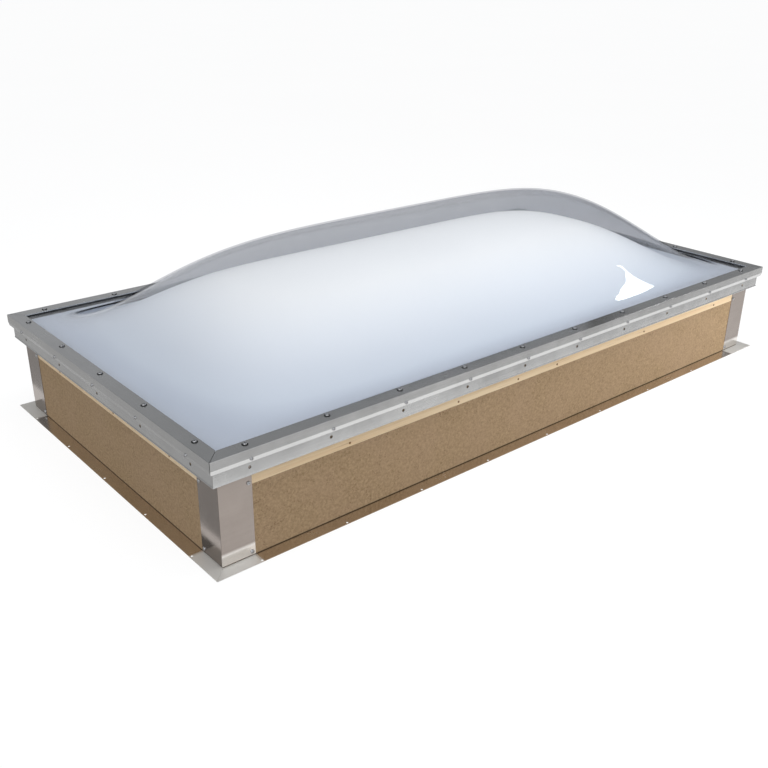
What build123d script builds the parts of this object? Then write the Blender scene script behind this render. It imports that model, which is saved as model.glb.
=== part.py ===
# Fixed roof skylight: two blown acrylic domes in a screwed metal frame on an insulated sheet curb.
# Lengths are in millimetres. X runs along the long sides, Z points up, and the roof deck is z = 0.
# An inset is a distance inwards from the outer face of the retainer.
from build123d import *
from collections import namedtuple
import os

# Whole frame, over the outer faces of the retainer
frame_length = 1905.0
frame_width = 990.6

# Curb wall, a sheet welded along its foot to a flat base flange
curb_sheet = 1.2
curb_setback = 0.3
flange_overhang = 3.8
flange_hole = 4.8
flange_hole_edge = 5.2
flange_hole_margin = 105.0
long_flange_holes = 9
short_flange_holes = 5

# Insulation board and wood nailer outside the curb wall
board_thickness = 25.4
board_height = 161.0
nailer_height = 67.0

# Nails along the lower edge of the nailer, placed by hand
nail_head = 5.0
nail_head_height = 0.5
nail_shank = 2.6
nail_length = 22.0
nail_height = 8.0
long_nail_shares = (-0.64, -0.31, -0.10, 0.05, 0.43, 0.79)
short_nail_shares = (-0.52, 0.06, 0.57)

# Corner cap, a folded angle over the ends of the boards
cap_inset = 26.7
cap_sheet = 1.0
cap_leg = 76.2
cap_edge_radius = 0.8
cap_lift = 2.5
cap_cover = 9.0
cap_screw_reach = 68.5
cap_screw_low = 10.0
cap_screw_rise = 5.0

# Curb frame, an extrusion with a skirt, a screw slot and a condensation gutter
frame_wall = 2.2
shelf_sheet = 2.5
skirt_inset = 8.8
skirt_drop = 34.5
skirt_bead = 0.8
skirt_bead_height = 3.0
skirt_hole = 7.0
skirt_hole_drop = 17.0
upstand_height = 15.0
screw_port = 21.5
port_slot = 3.7
port_rib = 1.6
gutter_drop = 16.0
gutter_width = 18.0
gutter_lip = 9.0
gutter_clearance = 0.4

# Retainer, a mitred angle whose lower lip leans inwards
retainer_wall = 2.5
retainer_top_leg = 34.0
retainer_side_leg = 28.2
retainer_edge_radius = 0.8
lip_height = 9.0
lip_lean = 1.8
retainer_setback = 0.7

# Glazing stack between the curb frame's shelf and the retainer
lower_tape_height = 3.0
spacer_height = 8.0
upper_tape_height = 2.5
port_clearance = 0.5
tape_recess = 0.6
lower_tape_width = 14.0

# Blown domes, each one sheet with a flat rim
inner_sheet = 3.0
outer_sheet = 4.5
dome_inset = 65.5
inner_rise = 153.0
inner_end_power = 6.6
inner_end_ease = 2.2
inner_side_power = 2.54
inner_side_ease = 1.33
outer_rise = 227.2
outer_end_power = 4.64
outer_end_ease = 1.0
outer_side_power = 2.1
outer_side_ease = 1.5
dome_columns = 36
dome_rows = 20
surface_fit = 0.02

# Screws and sealing washers
screw_margin = 89.0
long_screws = 10
short_screws = 5
screw_shank = 3.6
hole_clearance = 0.1
crown_share = 0.55
top_screw_head = 9.0
top_screw_head_height = 3.2
top_screw_length = 17.0
washer_width = 13.4
washer_height = 1.0
side_screw_head = 7.6
side_screw_head_height = 2.6
side_screw_length = 10.0
side_screw_drop = 21.5
cap_screw_head = 8.6
cap_screw_head_height = 2.8
upper_cap_screw_length = 22.0
lower_cap_screw_length = 32.0

# Every cut runs this far past the faces that it opens
overrun = 2.0

# Heights above the roof deck
flange_top = curb_sheet
board_top = flange_top + board_height
curb_top = board_top + nailer_height
shelf_top = curb_top + shelf_sheet
inner_seat = shelf_top + lower_tape_height
inner_face = inner_seat + inner_sheet
outer_seat = inner_face + spacer_height
outer_face = outer_seat + outer_sheet
retainer_seat = outer_face + upper_tape_height
frame_top = retainer_seat + retainer_wall
lip_bottom = frame_top - retainer_side_leg
skirt_bottom = curb_top - skirt_drop
skirt_hole_level = curb_top - skirt_hole_drop
side_screw_level = frame_top - side_screw_drop
cap_bottom = flange_top + cap_lift
cap_top = skirt_bottom + cap_cover
lower_cap_screw_level = flange_top + cap_screw_low
upper_cap_screw_level = board_top + cap_screw_rise
nail_level = board_top + nail_height

# Insets of the faces that pieces share
board_face = cap_inset + cap_sheet
wall_face = board_face + board_thickness
wall_back = wall_face + curb_sheet
upstand_face = retainer_wall + lip_lean
port_outer = screw_port - port_slot / 2 - port_rib
port_inner = screw_port + port_slot / 2 + port_rib
dome_edge = port_inner + port_clearance
gutter_face = wall_back + gutter_clearance
gutter_back = gutter_face + gutter_width

half_length = frame_length / 2
half_width = frame_width / 2

# How a blown sheet falls from its crown to its ends and sides
Blow = namedtuple("Blow", "rise end_power end_ease side_power side_ease")
inner_blow = Blow(inner_rise, inner_end_power, inner_end_ease, inner_side_power, inner_side_ease)
outer_blow = Blow(outer_rise, outer_end_power, outer_end_ease, outer_side_power, outer_side_ease)

# A side lies along X at y = -depth when it is made, and is then turned about Z to its place
Side = namedtuple("Side", "run depth turn screws flange_holes nail_shares board_end")
long_side = (half_length, half_width)
short_side = (half_width, half_length)
long_fixings = (long_screws, long_flange_holes, long_nail_shares, board_face)
short_fixings = (short_screws, short_flange_holes, short_nail_shares, wall_face)
sides = {
    "front": Side(*long_side, 0, *long_fixings),
    "back": Side(*long_side, 180, *long_fixings),
    "left": Side(*short_side, -90, *short_fixings),
    "right": Side(*short_side, 90, *short_fixings),
}


# Helpers


def turned(shape, side):
    return Rot(0, 0, side.turn) * shape


def outline(*points):
    return make_face(Polyline(*points, close=True))


def rounded(section, corner, radius):
    """The section with one corner rounded."""
    vertex = section.vertices().sort_by_distance(corner)[0]
    return fillet(vertex, radius)


def evenly(count, reach):
    """Places from -reach to reach, both included."""
    return [reach * (2 * i / (count - 1) - 1) for i in range(count)]


def upright_pin(place, inset, diameter, low, high, side):
    pin = Cylinder(diameter / 2, high - low, align=(Align.CENTER, Align.CENTER, Align.MIN))
    return Pos(place, inset - side.depth, low) * pin


def level_pin(place, level, diameter, near, far, side):
    pin = Cylinder(diameter / 2, far - near, align=(Align.CENTER, Align.CENTER, Align.MIN))
    return Pos(place, near - side.depth, level) * Rot(-90, 0, 0) * pin


def mitred_run(section, side, setback):
    """The section run along one side and cut at 45 degrees at both ends, each short by the setback."""
    across = Plane(origin=(0, -side.depth, 0), x_dir=(0, 1, 0), z_dir=(1, 0, 0))
    outer = -flange_overhang - overrun
    inner = gutter_back + overrun
    bar = extrude(across * section, amount=side.run - outer, both=True)
    near, far = [(side.run - inset - setback, inset - side.depth) for inset in (outer, inner)]
    plan = outline(near, far, (-far[0], far[1]), (-near[0], near[1]))
    wedge = Pos(0, 0, -overrun) * extrude(plan, amount=frame_top + 2 * overrun)
    return bar & wedge


def butted_run(low, high, side):
    """A strip between the caps and the curb wall; the long ones cover the ends of the short ones."""
    length = 2 * (side.run - side.board_end)
    strip = Box(length, board_thickness, high - low, align=(Align.CENTER, Align.MIN, Align.MIN))
    return Pos(0, board_face - side.depth, low) * strip


def screw_places(side):
    return evenly(side.screws, side.run - screw_margin)


def cap_screw_places(side):
    return evenly(2, side.run - cap_inset - cap_screw_reach)


def nail_places(side):
    return [share * side.run for share in side.nail_shares]


# Curb


def base_flange(side):
    section = outline(
        (-flange_overhang, 0),
        (wall_back, 0),
        (wall_back, flange_top),
        (-flange_overhang, flange_top),
    )
    reach = side.run + flange_overhang - flange_hole_margin
    inset = flange_hole_edge - flange_overhang
    holes = [
        upright_pin(place, inset, flange_hole, -overrun, flange_top + overrun, side)
        for place in evenly(side.flange_holes, reach)
    ]
    return turned(mitred_run(section, side, curb_setback) - holes, side)


def curb_wall(side):
    section = outline(
        (wall_face, flange_top),
        (wall_back, flange_top),
        (wall_back, curb_top),
        (wall_face, curb_top),
    )
    holes = [
        level_pin(
            place,
            lower_cap_screw_level,
            screw_shank + hole_clearance,
            wall_face - overrun,
            wall_back + overrun,
            side,
        )
        for place in cap_screw_places(side)
    ]
    return turned(mitred_run(section, side, curb_setback) - holes, side)


def insulation_board(side):
    board = butted_run(flange_top, board_top, side)
    holes = [
        level_pin(
            place,
            lower_cap_screw_level,
            screw_shank + hole_clearance,
            board_face - overrun,
            wall_face + overrun,
            side,
        )
        for place in cap_screw_places(side)
    ]
    return turned(board - holes, side)


def nailer(side):
    strip = butted_run(board_top, curb_top, side)
    screw_end = cap_inset + upper_cap_screw_length + hole_clearance
    holes = [
        level_pin(
            place,
            upper_cap_screw_level,
            screw_shank + hole_clearance,
            board_face - overrun,
            screw_end,
            side,
        )
        for place in cap_screw_places(side)
    ]
    holes += [
        level_pin(
            place,
            nail_level,
            nail_shank + hole_clearance,
            board_face - overrun,
            board_face + nail_length + hole_clearance,
            side,
        )
        for place in nail_places(side)
    ]
    return turned(strip - holes, side)


def corner_cap(corner_x, corner_y, turn):
    """A folded angle whose legs start along +X and +Y before it is turned."""
    plan = outline(
        (0, 0),
        (cap_leg, 0),
        (cap_leg, cap_sheet),
        (cap_sheet, cap_sheet),
        (cap_sheet, cap_leg),
        (0, cap_leg),
    )
    plan = rounded(plan, (0, 0), cap_edge_radius)
    cap = Pos(0, 0, cap_bottom) * extrude(plan, amount=cap_top - cap_bottom)
    drill = Cylinder((screw_shank + hole_clearance) / 2, cap_sheet + 2 * overrun)
    for level in (lower_cap_screw_level, upper_cap_screw_level):
        cap -= Pos(cap_screw_reach, cap_sheet / 2, level) * Rot(90, 0, 0) * drill
        cap -= Pos(cap_sheet / 2, cap_screw_reach, level) * Rot(0, 90, 0) * drill
    return Pos(corner_x, corner_y, 0) * Rot(0, 0, turn) * cap


# Frame


def curb_frame(side):
    skirt_back = skirt_inset + frame_wall
    upstand_back = upstand_face + frame_wall
    slot_near = screw_port - port_slot / 2
    slot_far = screw_port + port_slot / 2
    upstand_top = shelf_top + upstand_height
    gutter_floor = shelf_top - gutter_drop
    section = outline(
        (skirt_inset - skirt_bead, skirt_bottom),
        (skirt_inset - skirt_bead, skirt_bottom + skirt_bead_height - skirt_bead),
        (skirt_inset, skirt_bottom + skirt_bead_height),
        (skirt_inset, curb_top),
        (upstand_face, curb_top),
        (upstand_face, upstand_top),
        (upstand_back, upstand_top),
        (upstand_back, shelf_top),
        (port_outer, shelf_top),
        (port_outer, retainer_seat),
        (slot_near, retainer_seat),
        (slot_near, shelf_top),
        (slot_far, shelf_top),
        (slot_far, retainer_seat),
        (port_inner, retainer_seat),
        (port_inner, shelf_top),
        (gutter_face + frame_wall, shelf_top),
        (gutter_face + frame_wall, gutter_floor),
        (gutter_back - frame_wall, gutter_floor),
        (gutter_back - frame_wall, gutter_floor + gutter_lip),
        (gutter_back, gutter_floor + gutter_lip),
        (gutter_back, gutter_floor - frame_wall),
        (gutter_face, gutter_floor - frame_wall),
        (gutter_face, curb_top),
        (skirt_back, curb_top),
        (skirt_back, skirt_bottom),
    )
    holes = []
    for place in screw_places(side):
        holes.append(
            level_pin(
                place,
                side_screw_level,
                screw_shank + hole_clearance,
                upstand_face - overrun,
                upstand_back + overrun,
                side,
            )
        )
        holes.append(
            level_pin(
                place,
                skirt_hole_level,
                skirt_hole,
                skirt_inset - overrun,
                skirt_back + overrun,
                side,
            )
        )
    return turned(mitred_run(section, side, curb_setback) - holes, side)


def retainer(side):
    section = outline(
        (0, frame_top),
        (retainer_top_leg, frame_top),
        (retainer_top_leg, retainer_seat),
        (retainer_wall, retainer_seat),
        (retainer_wall, lip_bottom + lip_height),
        (retainer_wall + lip_lean, lip_bottom),
        (lip_lean, lip_bottom),
        (0, lip_bottom + lip_height),
    )
    section = rounded(section, (0, frame_top), retainer_edge_radius)
    bore = screw_shank + hole_clearance
    holes = []
    for place in screw_places(side):
        holes.append(
            upright_pin(place, screw_port, bore, retainer_seat - overrun, frame_top + overrun, side)
        )
        holes.append(
            level_pin(place, side_screw_level, bore, -overrun, upstand_face + overrun, side)
        )
    return turned(mitred_run(section, side, retainer_setback) - holes, side)


# Glazing


def ring(outer_inset, inner_inset, low, high):
    outer = Rectangle(frame_length - 2 * outer_inset, frame_width - 2 * outer_inset)
    inner = Rectangle(frame_length - 2 * inner_inset, frame_width - 2 * inner_inset)
    return Pos(0, 0, low) * extrude(outer - inner, amount=high - low)


def blown_height(blow, along, across):
    """The blown sheet's height over its rim, from shares of the half length and half width."""
    end_fall = 1 - abs(along) ** blow.end_power
    side_fall = 1 - abs(across) ** blow.side_power
    return blow.rise * end_fall**blow.end_ease * side_fall**blow.side_ease


def blown_dome(blow, rim_face, sheet):
    """A closed sheet: the blown surface, its flat rim, and the same again one thickness lower."""
    reach_x = half_length - dome_inset
    reach_y = half_width - dome_inset
    grid = [
        [
            (reach_x * along, reach_y * across, rim_face + blown_height(blow, along, across))
            for along in evenly(dome_columns + 1, 1)
        ]
        for across in evenly(dome_rows + 1, 1)
    ]
    crown = Face.make_surface_from_array_of_points(grid, tol=surface_fit, min_deg=3, max_deg=3)
    edge_x = half_length - dome_edge
    edge_y = half_width - dome_edge
    corners = [(-edge_x, -edge_y), (edge_x, -edge_y), (edge_x, edge_y), (-edge_x, edge_y)]
    border = Wire.make_polygon([(x, y, rim_face) for x, y in corners], close=True)
    rim = Face(border, [crown.outer_wire()])
    down = Vector(0, 0, -sheet)
    undersides = [face.moved(Location(down)) for face in (crown, rim)]
    edges = Shell.extrude(border, down).faces()
    return Solid(Shell([crown, rim, *undersides, *edges]))


# Fasteners


def pan_screw(head, head_height, length):
    """A screw that points down, with the underside of its head at the origin."""
    rim = head_height * (1 - crown_share)
    crown = head_height - rim
    crown_radius = (head**2 / 4 + crown**2) / (2 * crown)
    sides_line = Polyline(
        (0, head_height),
        (0, -length),
        (screw_shank / 2, -length),
        (screw_shank / 2, 0),
        (head / 2, 0),
        (head / 2, rim),
    )
    crown_line = RadiusArc((head / 2, rim), (0, head_height), -crown_radius)
    return revolve(Plane.XZ * make_face([sides_line, crown_line]), Axis.Z)


def nail():
    head = Cylinder(nail_head / 2, nail_head_height, align=(Align.CENTER, Align.CENTER, Align.MIN))
    shank = Cylinder(nail_shank / 2, nail_length, align=(Align.CENTER, Align.CENTER, Align.MAX))
    return head + shank


def sealing_washer():
    bore = (screw_shank + hole_clearance) / 2
    return extrude(Circle(washer_width / 2) - Circle(bore), amount=washer_height)


def on_top(piece, place, inset, level, side):
    return turned(Pos(place, inset - side.depth, level) * piece, side)


def on_face(piece, place, inset, level, side):
    """The piece turned so that its head looks outwards."""
    return turned(Pos(place, inset - side.depth, level) * Rot(90, 0, 0) * piece, side)


def top_screws():
    screw = pan_screw(top_screw_head, top_screw_head_height, top_screw_length)
    seat = frame_top + washer_height
    return [
        on_top(screw, place, screw_port, seat, side)
        for side in sides.values()
        for place in screw_places(side)
    ]


def sealing_washers():
    return [
        on_top(sealing_washer(), place, screw_port, frame_top, side)
        for side in sides.values()
        for place in screw_places(side)
    ]


def side_screws():
    screw = pan_screw(side_screw_head, side_screw_head_height, side_screw_length)
    return [
        on_face(screw, place, 0, side_screw_level, side)
        for side in sides.values()
        for place in screw_places(side)
    ]


def cap_screws(level, length):
    screw = pan_screw(cap_screw_head, cap_screw_head_height, length)
    return [
        on_face(screw, place, cap_inset, level, side)
        for side in sides.values()
        for place in cap_screw_places(side)
    ]


def nailer_nails():
    return [
        on_face(nail(), place, board_face, nail_level, side)
        for side in sides.values()
        for place in nail_places(side)
    ]


# All the pieces, by name

parts = {}
for name, side in sides.items():
    parts["base_flange_" + name] = base_flange(side)
    parts["curb_wall_" + name] = curb_wall(side)
    parts["insulation_board_" + name] = insulation_board(side)
    parts["nailer_" + name] = nailer(side)
    parts["curb_frame_" + name] = curb_frame(side)
    parts["retainer_" + name] = retainer(side)

cap_x = half_length - cap_inset
cap_y = half_width - cap_inset
parts["corner_cap_front_left"] = corner_cap(-cap_x, -cap_y, 0)
parts["corner_cap_front_right"] = corner_cap(cap_x, -cap_y, 90)
parts["corner_cap_back_right"] = corner_cap(cap_x, cap_y, 180)
parts["corner_cap_back_left"] = corner_cap(-cap_x, cap_y, 270)

tape_inner = retainer_top_leg - tape_recess
parts["lower_tape"] = ring(dome_edge, dome_edge + lower_tape_width, shelf_top, inner_seat)
parts["dome_spacer"] = ring(dome_edge, tape_inner, inner_face, outer_seat)
parts["upper_tape"] = ring(dome_edge, tape_inner, outer_face, retainer_seat)
parts["inner_dome"] = blown_dome(inner_blow, inner_face, inner_sheet)
parts["outer_dome"] = blown_dome(outer_blow, outer_face, outer_sheet)

parts["top_screws"] = Compound(top_screws())
parts["sealing_washers"] = Compound(sealing_washers())
parts["side_screws"] = Compound(side_screws())
parts["upper_cap_screws"] = Compound(cap_screws(upper_cap_screw_level, upper_cap_screw_length))
parts["lower_cap_screws"] = Compound(cap_screws(lower_cap_screw_level, lower_cap_screw_length))
parts["nailer_nails"] = Compound(nailer_nails())

os.makedirs("parts", exist_ok=True)
for name, shape in parts.items():
    export_step(shape, f"parts/{name}.step")
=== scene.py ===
"""Looks of a fixed roof skylight: a clear dome over a white one, in a screwed metal frame on an insulated curb."""

import math

import bmesh
import bpy
from mathutils import Matrix, Vector


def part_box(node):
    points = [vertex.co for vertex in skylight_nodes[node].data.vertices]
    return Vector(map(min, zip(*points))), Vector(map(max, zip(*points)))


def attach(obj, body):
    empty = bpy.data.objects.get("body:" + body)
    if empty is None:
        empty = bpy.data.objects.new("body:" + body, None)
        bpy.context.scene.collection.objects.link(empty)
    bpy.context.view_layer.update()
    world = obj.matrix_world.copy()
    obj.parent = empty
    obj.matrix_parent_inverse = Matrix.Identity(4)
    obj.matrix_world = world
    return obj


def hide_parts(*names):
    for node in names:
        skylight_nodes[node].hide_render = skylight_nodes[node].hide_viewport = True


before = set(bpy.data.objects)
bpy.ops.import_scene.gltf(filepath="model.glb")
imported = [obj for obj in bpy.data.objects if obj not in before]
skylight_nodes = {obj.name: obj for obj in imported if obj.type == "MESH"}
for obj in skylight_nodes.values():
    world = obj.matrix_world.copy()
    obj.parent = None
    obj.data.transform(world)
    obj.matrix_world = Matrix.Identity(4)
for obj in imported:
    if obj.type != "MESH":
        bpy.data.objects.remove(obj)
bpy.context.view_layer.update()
sides = ("front", "back", "left", "right")
corners = ("front_left", "front_right", "back_right", "back_left")

# Sizes in metres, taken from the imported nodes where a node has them
frame_half_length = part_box("retainer_right")[1].x
frame_half_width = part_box("retainer_back")[1].y
frame_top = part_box("retainer_front")[1].z
flange_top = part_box("insulation_board_front")[0].z
skirt_foot = 0.1944
# Height of the painted shadow line along the foot of the boards
painted_shadow_under_board = 0.0030
cap_face = -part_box("corner_cap_front_left")[0].y
cap_inner_x = -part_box("corner_cap_front_left")[1].x
cap_inner_y = -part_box("corner_cap_front_left")[1].y
dome_inset = 0.0655
outer_sheet = 0.0045
inner_sheet = 0.0030
inner_fall = {"End Power": 6.6, "End Ease": 2.2, "Side Power": 2.54, "Side Ease": 1.33}
outer_fall = {"End Power": 4.64, "End Ease": 1.0, "Side Power": 2.1, "Side Ease": 1.5}
dome_grid = {"Columns": 144, "Rows": 96, "Rim Rows": 2}
dome_rim_angle = math.radians(60)

screw_margin = 0.089
screw_port = 0.0215
long_screws = 10
short_screws = 5
top_screw_head = 0.0090
top_screw_height = 0.0032
washer_width = 0.0134
washer_height = 0.0010
side_screw_head = 0.0076
side_screw_height = 0.0026
cap_screw_head = 0.0086
cap_screw_height = 0.0028
cap_screw_reach = 0.0685 + 0.0267
top_shank_stub = 0.006
side_shank_stub = 0.004
head_edge_angle = math.radians(35)


# Node helpers


def add(tree, kind, **settings):
    """One node of a tree, with its properties set."""
    node = tree.nodes.new(kind)
    for name, value in settings.items():
        setattr(node, name, value)
    return node


def feed(tree, socket, source):
    """Links a socket to an output, or gives it a plain value."""
    if isinstance(source, bpy.types.NodeSocket):
        tree.links.new(source, socket)
    else:
        socket.default_value = source


def calc(tree, operation, *values, clamp=False):
    """A math node on outputs or plain numbers."""
    node = add(tree, "ShaderNodeMath", operation=operation, use_clamp=clamp)
    for socket, value in zip(node.inputs, values):
        feed(tree, socket, value)
    return node.outputs[0]


def remap(tree, value, low, high, to_low, to_high, smooth=False):
    """A clamped change of range."""
    node = add(tree, "ShaderNodeMapRange", clamp=True)
    if smooth:
        node.interpolation_type = "SMOOTHSTEP"
    for name, source in (
        ("Value", value),
        ("From Min", low),
        ("From Max", high),
        ("To Min", to_low),
        ("To Max", to_high),
    ):
        feed(tree, node.inputs[name], source)
    return node.outputs["Result"]


def apart(tree, vector):
    """The X, Y and Z of a vector."""
    node = add(tree, "ShaderNodeSeparateXYZ")
    feed(tree, node.inputs[0], vector)
    return node.outputs


def new_tree(name, inputs):
    """An empty Geometry Nodes tree with the named inputs."""
    tree = bpy.data.node_groups.new(name, "GeometryNodeTree")
    tree.interface.new_socket("Geometry", in_out="OUTPUT", socket_type="NodeSocketGeometry")
    for label, kind in inputs:
        tree.interface.new_socket(label, in_out="INPUT", socket_type="NodeSocket" + kind)
    source = add(tree, "NodeGroupInput")
    return tree, source.outputs, add(tree, "NodeGroupOutput")


def plain_mesh(name, tree, values):
    """Runs a tree with these input values and leaves its result as a plain mesh object."""
    carrier = bpy.data.objects.new(name + "_carrier", bpy.data.meshes.new(name + "_carrier"))
    bpy.context.scene.collection.objects.link(carrier)
    modifier = carrier.modifiers.new("nodes", "NODES")
    modifier.node_group = tree
    for item in tree.interface.items_tree:
        if item.item_type == "SOCKET" and item.in_out == "INPUT" and item.name in values:
            modifier[item.identifier] = values[item.name]
    made = bpy.data.meshes.new_from_object(carrier.evaluated_get(bpy.context.evaluated_depsgraph_get()))
    carrier.modifiers.clear()
    bpy.data.objects.remove(carrier)
    made.name = name
    piece = bpy.data.objects.new(name, made)
    bpy.context.scene.collection.objects.link(piece)
    return piece


# Finishes


def shared_effect(name, inputs, outputs):
    """An empty shader group with named sockets."""
    tree = bpy.data.node_groups.new(name, "ShaderNodeTree")
    for label, kind, value in inputs:
        socket = tree.interface.new_socket(label, in_out="INPUT", socket_type="NodeSocket" + kind)
        if value is not None:
            socket.default_value = value
    for label, kind in outputs:
        tree.interface.new_socket(label, in_out="OUTPUT", socket_type="NodeSocket" + kind)
    return tree, add(tree, "NodeGroupInput").outputs, add(tree, "NodeGroupOutput")


def noise(tree, vector, scale, detail=3.0, roughness=0.5, stretch=None):
    """A noise value, drawn out along an axis where stretch gives shares for X, Y and Z."""
    if stretch is not None:
        mapping = add(tree, "ShaderNodeMapping")
        feed(tree, mapping.inputs["Vector"], vector)
        feed(tree, mapping.inputs["Scale"], stretch)
        vector = mapping.outputs["Vector"]
    node = add(tree, "ShaderNodeTexNoise")
    for label, value in (("Vector", vector), ("Scale", scale), ("Detail", detail), ("Roughness", roughness)):
        feed(tree, node.inputs[label], value)
    return node.outputs["Fac"]


def blend_colour(tree, share, first, second, mode="MIX"):
    """A mix of two colours."""
    node = add(tree, "ShaderNodeMix", data_type="RGBA", blend_type=mode)
    feed(tree, node.inputs[0], share)
    feed(tree, node.inputs[6], first)
    feed(tree, node.inputs[7], second)
    return node.outputs[2]


def set_steps(ramp, colours):
    """The steps of a colour ramp, as places and colours."""
    steps = ramp.color_ramp.elements
    for place, colour in colours:
        steps.new(place).color = (*colour, 1)
    steps.remove(steps[0])
    steps.remove(steps[-1])


def drawn_metal_effect():
    """Fine lines along a drawn or rolled length, and the cloudy marks of handling."""
    tree, given, result = shared_effect(
        "drawn_metal",
        (("Vector", "Vector", None), ("Line Scale", "Float", 900.0), ("Mark Scale", "Float", 7.0)),
        (("Lines", "Float"), ("Marks", "Float")),
    )
    lines = noise(tree, given["Vector"], given["Line Scale"], detail=2.0, stretch=(0.004, 1.0, 1.0))
    marks = noise(tree, given["Vector"], given["Mark Scale"], detail=5.0, roughness=0.62)
    feed(tree, result.inputs["Lines"], lines)
    feed(tree, result.inputs["Marks"], remap(tree, marks, 0.38, 0.68, 0.0, 1.0))
    return tree


def fibre_effect():
    """Short matted fibres with dark bark specks."""
    tree, given, result = shared_effect(
        "matted_fibre",
        (("Vector", "Vector", None), ("Fibre Scale", "Float", 160.0), ("Speck Scale", "Float", 210.0)),
        (("Fibre", "Float"), ("Specks", "Float"), ("Clouds", "Float")),
    )
    fine = noise(tree, given["Vector"], given["Fibre Scale"], detail=6.0, roughness=0.72)
    cells = add(tree, "ShaderNodeTexVoronoi", feature="F1")
    feed(tree, cells.inputs["Vector"], given["Vector"])
    feed(tree, cells.inputs["Scale"], given["Speck Scale"])
    chosen = noise(tree, given["Vector"], 55.0, detail=2.0)
    near = remap(tree, cells.outputs["Distance"], 0.10, 0.42, 1.0, 0.0)
    feed(tree, result.inputs["Fibre"], fine)
    feed(tree, result.inputs["Specks"], calc(tree, "MULTIPLY", near, remap(tree, chosen, 0.47, 0.62, 0.0, 1.0)))
    feed(tree, result.inputs["Clouds"], noise(tree, given["Vector"], 9.0, detail=3.0))
    return tree


drawn_metal = drawn_metal_effect()
matted_fibre = fibre_effect()


def new_finish(name):
    """A material with its own Principled shader, and its Object coordinates."""
    finish = bpy.data.materials.new(name)
    finish.use_nodes = True
    tree = finish.node_tree
    tree.nodes.clear()
    output = add(tree, "ShaderNodeOutputMaterial")
    shader = add(tree, "ShaderNodeBsdfPrincipled")
    tree.links.new(shader.outputs["BSDF"], output.inputs["Surface"])
    place = add(tree, "ShaderNodeTexCoord").outputs["Object"]
    return finish, tree, shader, place


def mixed(tree, share, first, second):
    """A mix of two shaders."""
    node = add(tree, "ShaderNodeMixShader")
    for socket, source in zip(node.inputs, (share, first, second)):
        feed(tree, socket, source)
    return node.outputs["Shader"]


def clear_film(tree, colour):
    """A shader that tints what lies straight behind it."""
    node = add(tree, "ShaderNodeBsdfTransparent")
    node.inputs["Color"].default_value = colour
    return node.outputs["BSDF"]


def show(tree, shader_output):
    """Makes a shader the one that the material shows."""
    output = next(n for n in tree.nodes if n.type == "OUTPUT_MATERIAL")
    feed(tree, output.inputs["Surface"], shader_output)


def bump(tree, shader, height, strength, distance):
    """A bump that feeds the shader's normal."""
    node = add(tree, "ShaderNodeBump")
    feed(tree, node.inputs["Height"], height)
    feed(tree, node.inputs["Strength"], strength)
    feed(tree, node.inputs["Distance"], distance)
    tree.links.new(node.outputs["Normal"], shader.inputs["Normal"])


def turned_along(tree, place, along_y):
    """Object coordinates turned so that a piece that runs along Y has its lines along Y."""
    if not along_y:
        return place
    mapping = add(tree, "ShaderNodeMapping")
    feed(tree, mapping.inputs["Vector"], place)
    mapping.inputs["Rotation"].default_value = (0.0, 0.0, math.pi / 2)
    return mapping.outputs["Vector"]


def metal_finish(name, along_y, dull, bright, smooth, rough, line_depth):
    """Bare metal with drawn lines and handling marks."""
    finish, tree, shader, place = new_finish(name)
    effect = add(tree, "ShaderNodeGroup", node_tree=drawn_metal)
    feed(tree, effect.inputs["Vector"], turned_along(tree, place, along_y))
    lines, marks = effect.outputs["Lines"], effect.outputs["Marks"]
    tone = calc(tree, "MULTIPLY_ADD", marks, 0.45, calc(tree, "MULTIPLY", lines, 0.55))
    feed(tree, shader.inputs["Base Color"], blend_colour(tree, tone, dull, bright))
    worn = calc(tree, "MULTIPLY_ADD", marks, 0.6, calc(tree, "MULTIPLY", lines, 0.4))
    feed(tree, shader.inputs["Roughness"], remap(tree, worn, 0.15, 0.85, smooth, rough))
    shader.inputs["Metallic"].default_value = 1.0
    bump(tree, shader, lines, line_depth, 0.0002)
    return finish


def beyond(tree, value, limit, soft):
    """1 where a coordinate lies further out than a limit, on either side, with a soft edge."""
    return remap(tree, calc(tree, "ABSOLUTE", value), limit - soft, limit + soft, 0.0, 1.0)


def reopened(finish):
    """A finish's tree, its Principled shader, and the X, Y and Z of its Object coordinates."""
    tree = finish.node_tree
    shader = next(n for n in tree.nodes if n.type == "BSDF_PRINCIPLED")
    return tree, shader, apart(tree, add(tree, "ShaderNodeTexCoord").outputs["Object"])


def fed_by(tree, socket):
    """The output that feeds a socket."""
    return next(link.from_socket for link in tree.links if link.to_socket == socket)


def dulled_corners(finish):
    """Greys a flange sheet beside the corner caps, where it is brushed and dull."""
    tree, shader, spot = reopened(finish)
    past_x, past_y = beyond(tree, spot["X"], cap_inner_x, 0.004), beyond(tree, spot["Y"], cap_inner_y, 0.004)
    share = calc(tree, "MULTIPLY", past_x, past_y)
    colour, roughness = shader.inputs["Base Color"], shader.inputs["Roughness"]
    feed(tree, colour, blend_colour(tree, share, fed_by(tree, colour), (0.790, 0.765, 0.720, 1)))
    feed(tree, roughness, calc(tree, "MULTIPLY_ADD", share, 0.25, fed_by(tree, roughness)))
    feed(tree, shader.inputs["Metallic"], remap(tree, share, 0.0, 1.0, 1.0, 0.25))


def painted_foot_reflection(finish):
    """Paints a pale reflection onto the foot of a corner cap's long face."""
    tree, shader, spot = reopened(finish)
    # Painted reflection: the lowest part of the long face gets a pale colour
    low = remap(tree, spot["Z"], 0.024, 0.034, 1.0, 0.0, smooth=True)
    share = calc(tree, "MULTIPLY", low, beyond(tree, spot["Y"], cap_face - 0.002, 0.0005))
    colour = shader.inputs["Base Color"]
    feed(tree, colour, blend_colour(tree, share, fed_by(tree, colour), (0.860, 0.820, 0.780, 1)))


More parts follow.
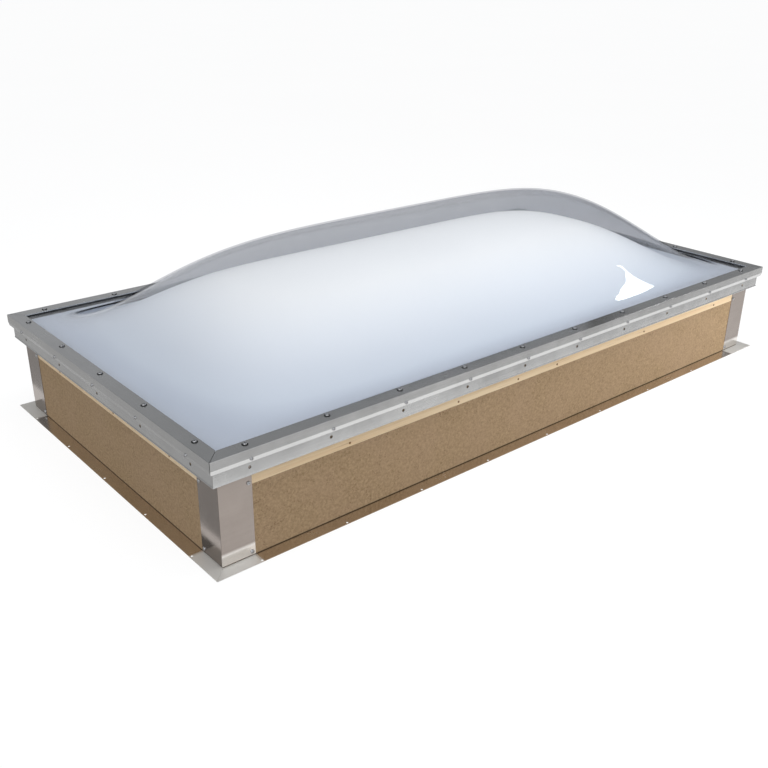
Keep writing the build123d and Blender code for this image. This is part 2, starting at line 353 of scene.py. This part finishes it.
def board_finish():
    """Pressed wood-fibre board, with a painted shadow line along its foot where it meets the flange."""
    finish, tree, shader, place = new_finish("fibreboard_finish")
    effect = add(tree, "ShaderNodeGroup", node_tree=matted_fibre)
    feed(tree, effect.inputs["Vector"], place)
    fibre, specks, clouds = (effect.outputs[n] for n in ("Fibre", "Specks", "Clouds"))
    base = blend_colour(
        tree, remap(tree, fibre, 0.30, 0.72, 0.0, 1.0), (0.290, 0.196, 0.106, 1), (0.545, 0.388, 0.236, 1)
    )
    warm = blend_colour(tree, remap(tree, clouds, 0.35, 0.65, 0.0, 0.35), base, (0.460, 0.318, 0.205, 1))
    flecked = blend_colour(tree, calc(tree, "MULTIPLY", specks, 0.6), warm, (0.160, 0.095, 0.050, 1))
    height = apart(tree, place)["Z"]
    # Painted shadow: the board turns near black just above the flange, where shade falls between the parts
    foot = remap(tree, height, flange_top + 0.0008, flange_top + painted_shadow_under_board, 0.92, 0.0)
    feed(tree, shader.inputs["Base Color"], blend_colour(tree, foot, flecked, (0.030, 0.020, 0.012, 1)))
    feed(tree, shader.inputs["Roughness"], remap(tree, fibre, 0.3, 0.7, 0.86, 0.98))
    shader.inputs["Specular IOR Level"].default_value = 0.2
    bump(tree, shader, calc(tree, "SUBTRACT", fibre, specks), 0.55, 0.0012)
    return finish


def nailer_finish(name, along_y):
    """Planed pale softwood with its grain along the strip, and a painted shade where the skirt covers it."""
    finish, tree, shader, place = new_finish(name)
    along = turned_along(tree, place, along_y)
    bend = noise(tree, along, 5.0, detail=2.0, stretch=(0.25, 1.0, 1.0))
    bands = noise(tree, along, 95.0, detail=3.0, roughness=0.55, stretch=(0.012, 1.0, 1.0))
    pores = noise(tree, along, 700.0, detail=2.0, stretch=(0.02, 1.0, 1.0))
    rings = remap(tree, calc(tree, "MULTIPLY_ADD", bend, 0.35, bands), 0.45, 0.90, 0.0, 1.0)
    base = blend_colour(tree, rings, (0.960, 0.770, 0.520, 1), (0.850, 0.610, 0.360, 1))
    grained = blend_colour(tree, remap(tree, pores, 0.58, 0.74, 0.0, 0.45), base, (0.430, 0.245, 0.110, 1))
    # Painted shade: the wood turns dark above the skirt's foot, where the skirt shades it
    painted_skirt_shade = remap(tree, apart(tree, place)["Z"], skirt_foot + 0.002, skirt_foot + 0.008, 0.0, 0.9)
    feed(tree, shader.inputs["Base Color"], blend_colour(tree, painted_skirt_shade, grained, (0.070, 0.045, 0.028, 1)))
    feed(tree, shader.inputs["Roughness"], remap(tree, bands, 0.3, 0.7, 0.55, 0.75))
    bump(tree, shader, pores, 0.25, 0.0004)
    return finish


def white_dome_finish():
    """White translucent acrylic with a painted shade: bluish grey low down by the rim, whiter towards the crown."""
    finish, tree, shader, place = new_finish("white_dome_finish")
    # Painted shade: the colour runs from a bluish grey near the rim up to white at the crown, standing in for how
    # light falls on the dome
    out_of_painted_shade = remap(tree, apart(tree, place)["Z"], 0.236, 0.376, 0.0, 1.0)
    haze = noise(tree, place, 3.2, detail=3.0)
    share = calc(tree, "MULTIPLY_ADD", calc(tree, "SUBTRACT", haze, 0.5), 0.08, out_of_painted_shade, clamp=True)
    whites = add(tree, "ShaderNodeValToRGB")
    feed(tree, whites.inputs[0], share)
    set_steps(
        whites,
        (
            (0.00, (0.555, 0.600, 0.690)),
            (0.15, (0.690, 0.740, 0.815)),
            (0.35, (0.745, 0.785, 0.850)),
            (0.66, (0.865, 0.890, 0.930)),
            (1.00, (0.935, 0.950, 0.970)),
        ),
    )
    feed(tree, shader.inputs["Base Color"], whites.outputs["Color"])
    feed(tree, shader.inputs["Roughness"], remap(tree, haze, 0.3, 0.7, 0.46, 0.56))
    shader.inputs["IOR"].default_value = 1.49
    return finish


def clear_dome_finish():
    """Clear acrylic whose far wall and edges grey what lies behind, and which lets light through to the white dome."""
    finish, tree, shader, place = new_finish("clear_dome_finish")
    edge = add(tree, "ShaderNodeLayerWeight")
    edge.inputs["Blend"].default_value = 0.5
    film = noise(tree, place, 2.4, detail=3.0)
    side_seen = apart(tree, add(tree, "ShaderNodeNewGeometry").outputs["Normal"])
    from_inside = remap(tree, side_seen["Z"], -0.02, 0.02, 1.0, 0.0)
    seen_along = remap(tree, edge.outputs["Facing"], 0.55, 0.90, 0.0, 1.0, smooth=True)
    near_wall = blend_colour(tree, seen_along, (0.965, 0.972, 0.980, 1), (0.800, 0.810, 0.835, 1))
    feed(tree, shader.inputs["Base Color"], blend_colour(tree, from_inside, near_wall, (0.390, 0.396, 0.423, 1)))
    feed(tree, shader.inputs["Roughness"], remap(tree, film, 0.3, 0.7, 0.0, 0.03))
    shader.inputs["Transmission Weight"].default_value = 1.0
    shader.inputs["IOR"].default_value = 1.49
    at_edge = remap(tree, edge.outputs["Facing"], 0.76, 0.88, 0.0, 1.0, smooth=True)
    rimmed = mixed(tree, at_edge, shader.outputs["BSDF"], clear_film(tree, (0.780, 0.785, 0.800, 1)))
    path = add(tree, "ShaderNodeLightPath")
    lit = calc(tree, "MAXIMUM", path.outputs["Is Shadow Ray"], path.outputs["Is Diffuse Ray"])
    show(tree, mixed(tree, lit, rimmed, clear_film(tree, (0.95, 0.96, 0.97, 1))))
    return finish


def rubber_finish(name, dark, light, grain):
    """Matt black rubber or foam with a fine open grain."""
    finish, tree, shader, place = new_finish(name)
    cells = noise(tree, place, grain, detail=3.0)
    feed(tree, shader.inputs["Base Color"], blend_colour(tree, cells, dark, light))
    feed(tree, shader.inputs["Roughness"], remap(tree, cells, 0.3, 0.7, 0.75, 0.95))
    bump(tree, shader, cells, 0.4, 0.0004)
    return finish


def plated_finish(name, dark, light, smooth, rough):
    """Plated or tarnished steel of screws and nails."""
    finish, tree, shader, place = new_finish(name)
    blotches = noise(tree, place, 420.0, detail=4.0, roughness=0.6)
    feed(tree, shader.inputs["Base Color"], blend_colour(tree, blotches, dark, light))
    feed(tree, shader.inputs["Roughness"], remap(tree, blotches, 0.3, 0.7, smooth, rough))
    shader.inputs["Metallic"].default_value = 1.0
    bump(tree, shader, blotches, 0.15, 0.0002)
    return finish


frame_finish = {
    along_y: metal_finish(
        "frame_metal_short" if along_y else "frame_metal_long",
        along_y,
        (0.56, 0.56, 0.555, 1),
        (0.74, 0.74, 0.735, 1),
        0.16,
        0.28,
        0.10,
    )
    for along_y in (False, True)
}
flange_finish = {
    along_y: metal_finish(
        "curb_sheet_short" if along_y else "curb_sheet_long",
        along_y,
        (0.68, 0.635, 0.585, 1),
        (0.81, 0.765, 0.715, 1),
        0.16,
        0.28,
        0.04,
    )
    for along_y in (False, True)
}
for sheet_finish in flange_finish.values():
    dulled_corners(sheet_finish)
cap_finish = metal_finish(
    "corner_cap_sheet", False, (0.285, 0.246, 0.221, 1), (0.40, 0.352, 0.320, 1), 0.10, 0.24, 0.04
)
painted_foot_reflection(cap_finish)
fibreboard_finish = board_finish()
wood_finish = {
    along_y: nailer_finish("nailer_wood_short" if along_y else "nailer_wood_long", along_y)
    for along_y in (False, True)
}
white_acrylic_finish = white_dome_finish()
clear_acrylic_finish = clear_dome_finish()
tape_finish = rubber_finish("glazing_tape_finish", (0.020, 0.020, 0.021, 1), (0.050, 0.050, 0.052, 1), 260.0)
washer_finish = rubber_finish("washer_rubber_finish", (0.012, 0.012, 0.012, 1), (0.032, 0.032, 0.033, 1), 500.0)
screw_finish = plated_finish("screw_plating", (0.36, 0.36, 0.37, 1), (0.62, 0.62, 0.63, 1), 0.20, 0.36)
nail_finish = plated_finish("nail_steel", (0.150, 0.075, 0.028, 1), (0.340, 0.180, 0.075, 1), 0.35, 0.60)


def dress(node, finish):
    """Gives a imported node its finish."""
    slots = skylight_nodes[node].material_slots
    for slot in slots:
        slot.material = finish
    if not slots:
        skylight_nodes[node].data.materials.append(finish)


for side in sides:
    runs_along_y = side in ("left", "right")
    dress("retainer_" + side, frame_finish[runs_along_y])
    dress("curb_frame_" + side, frame_finish[runs_along_y])
    dress("base_flange_" + side, flange_finish[runs_along_y])
    dress("curb_wall_" + side, flange_finish[runs_along_y])
    dress("insulation_board_" + side, fibreboard_finish)
    dress("nailer_" + side, wood_finish[runs_along_y])
for corner in corners:
    dress("corner_cap_" + corner, cap_finish)
for tape in ("lower_tape", "dome_spacer", "upper_tape"):
    dress(tape, tape_finish)


# Domes


def blown_dome_tree():
    """One thin sheet: a flat rim, and a crown that falls to its ends and sides by a rule."""
    tree, given, result = new_tree(
        "blown_dome",
        (
            ("Crown Half Length", "Float"),
            ("Crown Half Width", "Float"),
            ("Rim Width", "Float"),
            ("Seat", "Float"),
            ("Sheet", "Float"),
            ("Rise", "Float"),
            ("End Power", "Float"),
            ("End Ease", "Float"),
            ("Side Power", "Float"),
            ("Side Ease", "Float"),
            ("Columns", "Int"),
            ("Rows", "Int"),
            ("Rim Rows", "Int"),
            ("Finish", "Material"),
        ),
    )
    rim_both = calc(tree, "MULTIPLY", given["Rim Rows"], 2.0)
    across = calc(tree, "ADD", given["Columns"], rim_both)
    down = calc(tree, "ADD", given["Rows"], rim_both)
    grid = add(tree, "GeometryNodeMeshGrid")
    feed(tree, grid.inputs["Size X"], across)
    feed(tree, grid.inputs["Size Y"], down)
    feed(tree, grid.inputs["Vertices X"], calc(tree, "ADD", across, 1.0))
    feed(tree, grid.inputs["Vertices Y"], calc(tree, "ADD", down, 1.0))
    spot = apart(tree, add(tree, "GeometryNodeInputPosition").outputs[0])

    def spread(step, count, reach):
        """The place of a grid line, and its share of the crown's half length."""
        half = calc(tree, "MULTIPLY", count, 0.5)
        far = calc(tree, "ABSOLUTE", step)
        share = calc(tree, "DIVIDE", far, half, clamp=True)
        past = calc(tree, "DIVIDE", calc(tree, "SUBTRACT", far, half), given["Rim Rows"], clamp=True)
        out = calc(tree, "MULTIPLY_ADD", share, reach, calc(tree, "MULTIPLY", past, given["Rim Width"]))
        return calc(tree, "MULTIPLY", out, calc(tree, "SIGN", step)), share

    along, along_share = spread(spot["X"], given["Columns"], given["Crown Half Length"])
    over, over_share = spread(spot["Y"], given["Rows"], given["Crown Half Width"])
    end_fall = calc(tree, "SUBTRACT", 1.0, calc(tree, "POWER", along_share, given["End Power"]), clamp=True)
    side_fall = calc(tree, "SUBTRACT", 1.0, calc(tree, "POWER", over_share, given["Side Power"]), clamp=True)
    end_share = calc(tree, "POWER", end_fall, given["End Ease"])
    share = calc(tree, "MULTIPLY", end_share, calc(tree, "POWER", side_fall, given["Side Ease"]))
    place = add(tree, "ShaderNodeCombineXYZ")
    feed(tree, place.inputs["X"], along)
    feed(tree, place.inputs["Y"], over)
    feed(tree, place.inputs["Z"], calc(tree, "MULTIPLY_ADD", share, given["Rise"], given["Seat"]))
    under = add(tree, "GeometryNodeSetPosition")
    feed(tree, under.inputs["Geometry"], grid.outputs["Mesh"])
    feed(tree, under.inputs["Position"], place.outputs["Vector"])
    lift = add(tree, "ShaderNodeCombineXYZ")
    feed(tree, lift.inputs["Z"], 1.0)
    raised = add(tree, "GeometryNodeExtrudeMesh", mode="FACES")
    feed(tree, raised.inputs["Mesh"], under.outputs["Geometry"])
    feed(tree, raised.inputs["Offset"], lift.outputs["Vector"])
    feed(tree, raised.inputs["Offset Scale"], given["Sheet"])
    raised.inputs["Individual"].default_value = False
    turned_under = add(tree, "GeometryNodeFlipFaces")
    feed(tree, turned_under.inputs["Mesh"], under.outputs["Geometry"])
    both = add(tree, "GeometryNodeJoinGeometry")
    feed(tree, both.inputs["Geometry"], raised.outputs["Mesh"])
    tree.links.new(turned_under.outputs["Mesh"], both.inputs["Geometry"])
    closed = add(tree, "GeometryNodeMergeByDistance")
    feed(tree, closed.inputs["Geometry"], both.outputs["Geometry"])
    closed.inputs["Distance"].default_value = 1e-5
    realized = add(tree, "GeometryNodeRealizeInstances")
    feed(tree, realized.inputs["Geometry"], closed.outputs["Geometry"])
    finished = add(tree, "GeometryNodeSetMaterial")
    feed(tree, finished.inputs["Geometry"], realized.outputs["Geometry"])
    feed(tree, finished.inputs["Material"], given["Finish"])
    feed(tree, result.inputs["Geometry"], finished.outputs["Geometry"])
    return tree


dome_tree = blown_dome_tree()


def blown_dome(node, sheet, fall, finish):
    """A finely divided dome in the place of a packed one."""
    low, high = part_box(node)
    piece = plain_mesh(
        node + "_sheet",
        dome_tree,
        {
            "Crown Half Length": frame_half_length - dome_inset,
            "Crown Half Width": frame_half_width - dome_inset,
            "Rim Width": high.x - (frame_half_length - dome_inset),
            "Seat": low.z,
            "Sheet": sheet,
            "Rise": high.z - low.z - sheet,
            **fall,
            **dome_grid,
            "Finish": finish,
        },
    )
    piece.data.shade_smooth()
    piece.data.set_sharp_from_angle(angle=dome_rim_angle)
    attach(piece, "root")
    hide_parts(node)
    return piece


blown_dome("inner_dome", inner_sheet, inner_fall, white_acrylic_finish)
blown_dome("outer_dome", outer_sheet, outer_fall, clear_acrylic_finish)


# Screws, washers and nails


def turned_shape(name, profile, steps):
    """A closed solid turned about Z from (radius, height) points that start and end on the axis."""
    shape = bmesh.new()
    rings = []
    for radius, height in profile:
        if radius == 0:
            rings.append([shape.verts.new((0, 0, height))])
            continue
        turns = (2 * math.pi * k / steps for k in range(steps))
        rings.append([shape.verts.new((radius * math.cos(t), radius * math.sin(t), height)) for t in turns])
    for inner, outer in zip(rings, rings[1:]):
        for k in range(steps):
            n = (k + 1) % steps
            loop = [inner[k % len(inner)], outer[k % len(outer)], outer[n % len(outer)], inner[n % len(inner)]]
            shape.faces.new(list(dict.fromkeys(loop)))
    bmesh.ops.recalc_face_normals(shape, faces=shape.faces)
    mesh = bpy.data.meshes.new(name)
    shape.to_mesh(mesh)
    shape.free()
    piece = bpy.data.objects.new(name, mesh)
    bpy.context.scene.collection.objects.link(piece)
    return piece


def pan_head(name, width, height, shank):
    """A pan-head screw's head with a cross recess, and the stub of its shank below the seat."""
    r = width / 2
    head = turned_shape(
        name,
        (
            (0, -shank),
            (0.38 * r, -shank),
            (0.38 * r, 0),
            (r, 0),
            (r, 0.30 * height),
            (0.93 * r, 0.62 * height),
            (0.74 * r, 0.86 * height),
            (0.45 * r, 0.97 * height),
            (0, height),
        ),
        24,
    )
    cross = bmesh.new()
    for turn in (0, math.pi / 2):
        arm = bmesh.ops.create_cube(cross, size=1.0)["verts"]
        bmesh.ops.scale(cross, verts=arm, vec=(1.05 * r, 0.26 * r, 1.30 * height))
        for v in arm:
            if v.co.z < 0:
                v.co.x *= 0.35
                v.co.y *= 0.70
        bmesh.ops.rotate(cross, verts=arm, cent=(0, 0, 0), matrix=Matrix.Rotation(turn, 3, "Z"))
        bmesh.ops.translate(cross, verts=arm, vec=(0, 0, height * 1.05))
    cutter_mesh = bpy.data.meshes.new(name + "_recess")
    cross.to_mesh(cutter_mesh)
    cross.free()
    cutter = bpy.data.objects.new(name + "_recess", cutter_mesh)
    bpy.context.scene.collection.objects.link(cutter)
    cut = head.modifiers.new("recess", "BOOLEAN")
    cut.operation = "DIFFERENCE"
    cut.solver = "EXACT"
    cut.use_self = True
    cut.object = cutter
    recessed = bpy.data.meshes.new_from_object(head.evaluated_get(bpy.context.evaluated_depsgraph_get()))
    head.modifiers.clear()
    head.data = recessed
    bpy.data.objects.remove(cutter)
    return head


def fastener_tree():
    """Rows of one fastener along the four sides, each turned its own way about its axis."""
    tree, given, result = new_tree(
        "fastener_rows",
        (
            ("Fastener", "Object"),
            ("Long Count", "Int"),
            ("Short Count", "Int"),
            ("Long Reach", "Float"),
            ("Short Reach", "Float"),
            ("Long Row", "Float"),
            ("Short Row", "Float"),
            ("Level", "Float"),
            ("Tilt", "Float"),
            ("Seed", "Int"),
            ("Finish", "Material"),
        ),
    )
    shape = add(tree, "GeometryNodeObjectInfo")
    feed(tree, shape.inputs["Object"], given["Fastener"])
    joined = add(tree, "GeometryNodeJoinGeometry")
    for quarter in range(4):
        run, cross = ("Long", "Short") if quarter % 2 == 0 else ("Short", "Long")
        line = add(tree, "GeometryNodeMeshLine", mode="END_POINTS")
        for socket, sign in (("Start Location", -1.0), ("Offset", 1.0)):
            end = add(tree, "ShaderNodeCombineXYZ")
            feed(tree, end.inputs["X"], calc(tree, "MULTIPLY", given[run + " Reach"], sign))
            feed(tree, end.inputs["Y"], calc(tree, "MULTIPLY", given[run + " Row"], -1.0))
            feed(tree, end.inputs["Z"], given["Level"])
            feed(tree, line.inputs[socket], end.outputs["Vector"])
        feed(tree, line.inputs["Count"], given[run + " Count"])
        tilt = add(tree, "ShaderNodeCombineXYZ")
        feed(tree, tilt.inputs["X"], given["Tilt"])
        set_out = add(tree, "GeometryNodeInstanceOnPoints")
        feed(tree, set_out.inputs["Points"], line.outputs["Mesh"])
        feed(tree, set_out.inputs["Instance"], shape.outputs["Geometry"])
        feed(tree, set_out.inputs["Rotation"], tilt.outputs["Vector"])
        chance = add(tree, "FunctionNodeRandomValue", data_type="FLOAT")
        chance.inputs[3].default_value = 2 * math.pi
        feed(tree, chance.inputs["Seed"], calc(tree, "ADD", given["Seed"], float(quarter)))
        spin = add(tree, "ShaderNodeCombineXYZ")
        feed(tree, spin.inputs["Z"], chance.outputs[1])
        spun = add(tree, "GeometryNodeRotateInstances")
        feed(tree, spun.inputs["Instances"], set_out.outputs["Instances"])
        feed(tree, spun.inputs["Rotation"], spin.outputs["Vector"])
        side_turn = add(tree, "GeometryNodeTransform")
        feed(tree, side_turn.inputs["Geometry"], spun.outputs["Instances"])
        side_turn.inputs["Rotation"].default_value = (0.0, 0.0, quarter * math.pi / 2)
        tree.links.new(side_turn.outputs["Geometry"], joined.inputs["Geometry"])
    realized = add(tree, "GeometryNodeRealizeInstances")
    feed(tree, realized.inputs["Geometry"], joined.outputs["Geometry"])
    finished = add(tree, "GeometryNodeSetMaterial")
    feed(tree, finished.inputs["Geometry"], realized.outputs["Geometry"])
    feed(tree, finished.inputs["Material"], given["Finish"])
    feed(tree, result.inputs["Geometry"], finished.outputs["Geometry"])
    return tree


rows_tree = fastener_tree()


def fastener_rows(node, name, fastener, finish, seed, inset, level, outward, reach_from_end, counts):
    """Puts a fastener along all four sides in the place of a packed group, and removes its pattern piece."""
    piece = plain_mesh(
        name,
        rows_tree,
        {
            "Fastener": fastener,
            "Long Count": counts[0],
            "Short Count": counts[1],
            "Long Reach": frame_half_length - reach_from_end,
            "Short Reach": frame_half_width - reach_from_end,
            "Long Row": frame_half_width - inset,
            "Short Row": frame_half_length - inset,
            "Level": level,
            "Tilt": math.pi / 2 if outward else 0.0,
            "Seed": seed,
            "Finish": finish,
        },
    )
    bpy.data.objects.remove(fastener)
    piece.data.shade_smooth()
    piece.data.set_sharp_from_angle(angle=head_edge_angle)
    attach(piece, "root")
    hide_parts(node)
    return piece


def outward_reach(node):
    """How far a packed group of fasteners stands from the middle towards the front."""
    return -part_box(node)[0].y


side_counts = (long_screws, short_screws)
washer_radius = washer_width / 2
fastener_rows(
    "sealing_washers",
    "rubber_washers",
    turned_shape(
        "washer_pattern",
        (
            (0.30 * washer_radius, 0),
            (0.96 * washer_radius, 0),
            (washer_radius, 0.35 * washer_height),
            (0.97 * washer_radius, 0.75 * washer_height),
            (0.86 * washer_radius, washer_height),
            (0.30 * washer_radius, washer_height),
            (0.30 * washer_radius, 0),
        ),
        24,
    ),
    washer_finish,
    3,
    screw_port,
    frame_top,
    False,
    screw_margin,
    side_counts,
)
fastener_rows(
    "top_screws",
    "retainer_screws",
    pan_head("top_pattern", top_screw_head, top_screw_height, top_shank_stub),
    screw_finish,
    11,
    screw_port,
    frame_top + washer_height,
    False,
    screw_margin,
    side_counts,
)
fastener_rows(
    "side_screws",
    "lip_screws",
    pan_head("side_pattern", side_screw_head, side_screw_height, side_shank_stub),
    screw_finish,
    23,
    frame_half_width - outward_reach("side_screws") + side_screw_height,
    (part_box("side_screws")[0].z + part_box("side_screws")[1].z) / 2,
    True,
    screw_margin,
    side_counts,
)
for tier, seed in (("upper", 31), ("lower", 41)):
    group = tier + "_cap_screws"
    fastener_rows(
        group,
        tier + "_corner_screws",
        pan_head(tier + "_cap_pattern", cap_screw_head, cap_screw_height, side_shank_stub),
        screw_finish,
        seed,
        frame_half_width - outward_reach(group) + cap_screw_height,
        (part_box(group)[0].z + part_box(group)[1].z) / 2,
        True,
        cap_screw_reach,
        (2, 2),
    )
dress("nailer_nails", nail_finish)


# Camera, at the photograph's angle

camera_turn = math.radians(-40.5735)
camera_height = math.radians(24.3868)
camera_roll = math.radians(0.6632)
camera_distance = 2.675401
camera_aside = -0.090094
camera_above = -0.032785
camera_lens = 43.538

away = Vector(
    (
        math.sin(camera_turn) * math.cos(camera_height),
        -math.cos(camera_turn) * math.cos(camera_height),
        math.sin(camera_height),
    )
)
level_right = Vector((math.cos(camera_turn), math.sin(camera_turn), 0.0))
level_up = away.cross(level_right)
right = level_right * math.cos(camera_roll) + level_up * math.sin(camera_roll)
up = level_up * math.cos(camera_roll) - level_right * math.sin(camera_roll)
stand = away * camera_distance + right * camera_aside + up * camera_above + Vector((0, 0, flange_top))
lens = bpy.data.cameras.new("camera")
lens.lens = camera_lens
lens.sensor_width = 36.0
camera = bpy.data.objects.new("camera", lens)
camera.matrix_world = Matrix.Translation(stand) @ Matrix((right, up, away)).transposed().to_4x4()
bpy.context.scene.collection.objects.link(camera)
bpy.context.scene.camera = camera


# Studio: pale floor, soft lamps, pale surroundings


def seen_or_mirrored(tree):
    """1 for what the camera, metal or clear acrylic shows, and 0 for light on the object."""
    path = add(tree, "ShaderNodeLightPath")
    direct = calc(tree, "MAXIMUM", path.outputs["Is Camera Ray"], path.outputs["Is Transmission Ray"])
    return calc(tree, "MAXIMUM", direct, path.outputs["Is Glossy Ray"])


def floor_finish():
    """White to look at, with the object's soft shadow, and a pale grey that sends some light back up."""
    finish, tree, shader, place = new_finish("studio_floor")
    tint = noise(tree, place, 0.8, detail=2.0)
    feed(tree, shader.inputs["Base Color"], blend_colour(tree, tint, (0.20, 0.20, 0.20, 1), (0.22, 0.22, 0.22, 1)))
    shader.inputs["Roughness"].default_value = 0.9
    shader.inputs["Specular IOR Level"].default_value = 0.0
    shader.inputs["Emission Color"].default_value = (1, 1, 1, 1)
    shader.inputs["Emission Strength"].default_value = 0.86
    pale = add(tree, "ShaderNodeBsdfDiffuse")
    pale.inputs["Color"].default_value = (0.55, 0.54, 0.52, 1)
    show(tree, mixed(tree, seen_or_mirrored(tree), pale.outputs["BSDF"], shader.outputs["BSDF"]))
    return finish


def flat_sheet(name, corners_of_sheet, finish):
    """A flat piece of the studio."""
    mesh = bpy.data.meshes.new(name)
    mesh.from_pydata(corners_of_sheet, [], [range(len(corners_of_sheet))])
    mesh.materials.append(finish)
    piece = bpy.data.objects.new(name, mesh)
    bpy.context.scene.collection.objects.link(piece)
    return piece


floor_reach = 40.0
floor_level = -0.0006
flat_sheet(
    "studio_floor",
    [(x * floor_reach, y * floor_reach, floor_level) for x, y in ((-1, -1), (1, -1), (1, 1), (-1, 1))],
    floor_finish(),
)


def studio_card(name, corners_of_card, tone):
    """A card of the studio that only shows in polished surfaces."""
    finish, tree, shader, place = new_finish(name + "_finish")
    cloud = noise(tree, place, 1.5, detail=2.0)
    dark, light = (tone * 0.9,) * 3 + (1,), (tone * 1.1,) * 3 + (1,)
    feed(tree, shader.inputs["Emission Color"], blend_colour(tree, cloud, dark, light))
    shader.inputs["Base Color"].default_value = (0, 0, 0, 1)
    shader.inputs["Specular IOR Level"].default_value = 0.0
    shader.inputs["Emission Strength"].default_value = 1.0
    card = flat_sheet(name, corners_of_card, finish)
    card.visible_camera = False
    card.visible_diffuse = False
    card.visible_shadow = False
    card.visible_transmission = False
    return card


def floor_card(name, low_x, high_x, low_y, high_y, tone):
    """A grey card laid on the floor."""
    outline = ((low_x, low_y), (high_x, low_y), (high_x, high_y), (low_x, high_y))
    return studio_card(name, [(x, y, 0.0) for x, y in outline], tone)


floor_card("near_left_card", -1.22, -0.975, -1.2, 3.0, 0.43)
floor_card("left_card", -4.0, -1.22, -1.2, 3.0, 0.33)
floor_card("front_card", -2.6, 3.4, -2.8, -0.77, 0.54)

# A bright pane beyond the right end, which the dome's foot mirrors, and a flag that hides it from the shoulder above
pane_outline = (
    (-0.610, 1.715),
    (-0.400, 1.697),
    (-0.170, 1.672),
    (-0.010, 1.763),
    (0.037, 1.853),
    (-0.050, 1.925),
    (-0.197, 1.976),
    (-0.380, 1.958),
    (-0.550, 1.892),
    (-0.622, 1.765),
)
studio_card("end_pane", [(2.5, y, z) for y, z in pane_outline], 8.0)
flag_outline = ((-0.346, 0.39), (-0.140, 0.39), (-0.140, 0.58), (-0.346, 0.58))
studio_card("end_flag", [(0.6, y, z) for y, z in flag_outline], 0.15)


def soft_lamp(name, place, aim, size, power):
    """An area lamp that lights the object and isn't seen itself."""
    lamp = bpy.data.lights.new(name, "AREA")
    lamp.shape = "RECTANGLE"
    lamp.size, lamp.size_y = size
    lamp.energy = power
    holder = bpy.data.objects.new(name, lamp)
    direction = Vector(place) - Vector(aim)
    holder.matrix_world = Matrix.Translation(Vector(place)) @ direction.to_track_quat("Z", "Y").to_matrix().to_4x4()
    holder.visible_camera = False
    holder.visible_transmission = False
    holder.visible_glossy = False
    bpy.context.scene.collection.objects.link(holder)
    return holder


studio_lamps = (
    ("front_lamp", (1.9, -1.7, 0.6), (0.7, -0.5, 0.1), (1.0, 0.6), 4.5),
    ("board_lamp", (1.3, -1.35, 0.22), (0.8, -0.47, 0.1), (0.7, 0.3), 4.6),
    ("over_lamp", (-0.2, 0.0, 2.6), (-0.2, 0.0, 0.3), (2.4, 1.6), 21.0),
    ("flank_lamp", (0.28, -0.95, 1.4), (0.23, -0.35, 0.3), (0.8, 0.4), 2.9),
    ("crown_lamp", (0.35, 0.15, 1.5), (0.3, 0.0, 0.39), (0.8, 0.5), 1.4),
)
for lamp_values in studio_lamps:
    soft_lamp(*lamp_values)

# Surroundings: an even tone with broad glows, each with its direction, tightness and brightness
even_tone = 0.10
broad_glows = (
    ((-0.696, -0.696, 0.174), 8.0, 0.85),
    ((-0.542, -0.542, 0.643), 6.0, 1.06),
    ((-0.766, 0.0, 0.643), 6.0, 0.60),
    ((0.410, -0.709, 0.574), 10.0, 1.10),
    ((0.696, 0.696, 0.174), 8.0, 0.25),
    ((0.0, 0.985, 0.174), 8.0, 0.36),
)

surroundings = bpy.data.worlds.new("studio_surroundings")
surroundings.use_nodes = True
sky = surroundings.node_tree
sky.nodes.clear()
sky_output = add(sky, "ShaderNodeOutputWorld")
backdrop = add(sky, "ShaderNodeBackground")
backdrop.inputs["Color"].default_value = (0.97, 0.99, 1.02, 1)
facing = add(sky, "ShaderNodeTexCoord").outputs["Generated"]
brightness = even_tone
for direction, tightness, tone in broad_glows:
    toward = add(sky, "ShaderNodeVectorMath", operation="DOT_PRODUCT")
    feed(sky, toward.inputs[0], facing)
    toward.inputs[1].default_value = Vector(direction).normalized()
    near = calc(sky, "POWER", calc(sky, "MAXIMUM", toward.outputs["Value"], 0.0), tightness)
    brightness = calc(sky, "MULTIPLY_ADD", near, tone, brightness)
# The pale backdrop: all round for the eye and through acrylic, and low down in polished metal
backdrop_tone = 1.0
low_down = remap(sky, apart(sky, facing)["Z"], 0.02, 0.09, 1.0, 0.0, smooth=True)
path = add(sky, "ShaderNodeLightPath")
mirrored = calc(sky, "MULTIPLY", path.outputs["Is Glossy Ray"], low_down)
straight = calc(sky, "MAXIMUM", path.outputs["Is Camera Ray"], path.outputs["Is Transmission Ray"])
shown = calc(sky, "MAXIMUM", straight, mirrored)
lacking = calc(sky, "SUBTRACT", backdrop_tone, brightness)
feed(sky, backdrop.inputs["Strength"], calc(sky, "MULTIPLY_ADD", shown, lacking, brightness))
feed(sky, sky_output.inputs["Surface"], backdrop.outputs["Background"])
bpy.context.scene.world = surroundings
bpy.context.scene.view_settings.view_transform = "Standard"
